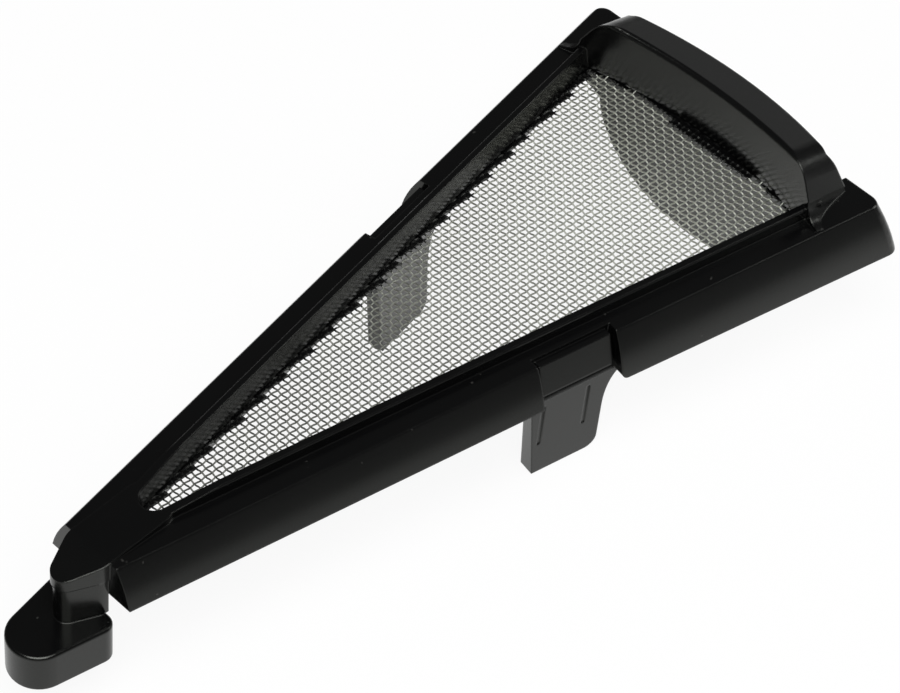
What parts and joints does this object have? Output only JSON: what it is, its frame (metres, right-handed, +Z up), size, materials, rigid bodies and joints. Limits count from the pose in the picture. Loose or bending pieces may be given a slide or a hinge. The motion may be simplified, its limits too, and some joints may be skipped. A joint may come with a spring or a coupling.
{
  "type": "kettle limescale filter",
  "caption": "Wedge-shaped black plastic filter frame with flared wings, clip legs, a foot and a curved end wall around woven wire cloth; stands in a kettle spout to hold back limescale.",
  "frame": {"origin": "below the middle of the part, at the level of the clip legs' lower ends", "axes": "+X from the foot at the narrow end to the curved wall at the wide end, +Z up, out of the open side of the wire cloth"},
  "size_m": [0.0934, 0.0408, 0.0215],
  "materials": {
    "black_plastic": "satin black moulding",
    "wire_cloth": "plain woven stainless wire"
  },
  "bodies": {
    "root": {"filter_frame": "black_plastic", "mesh_screen": "wire_cloth"}
  },
  "joints": []
}
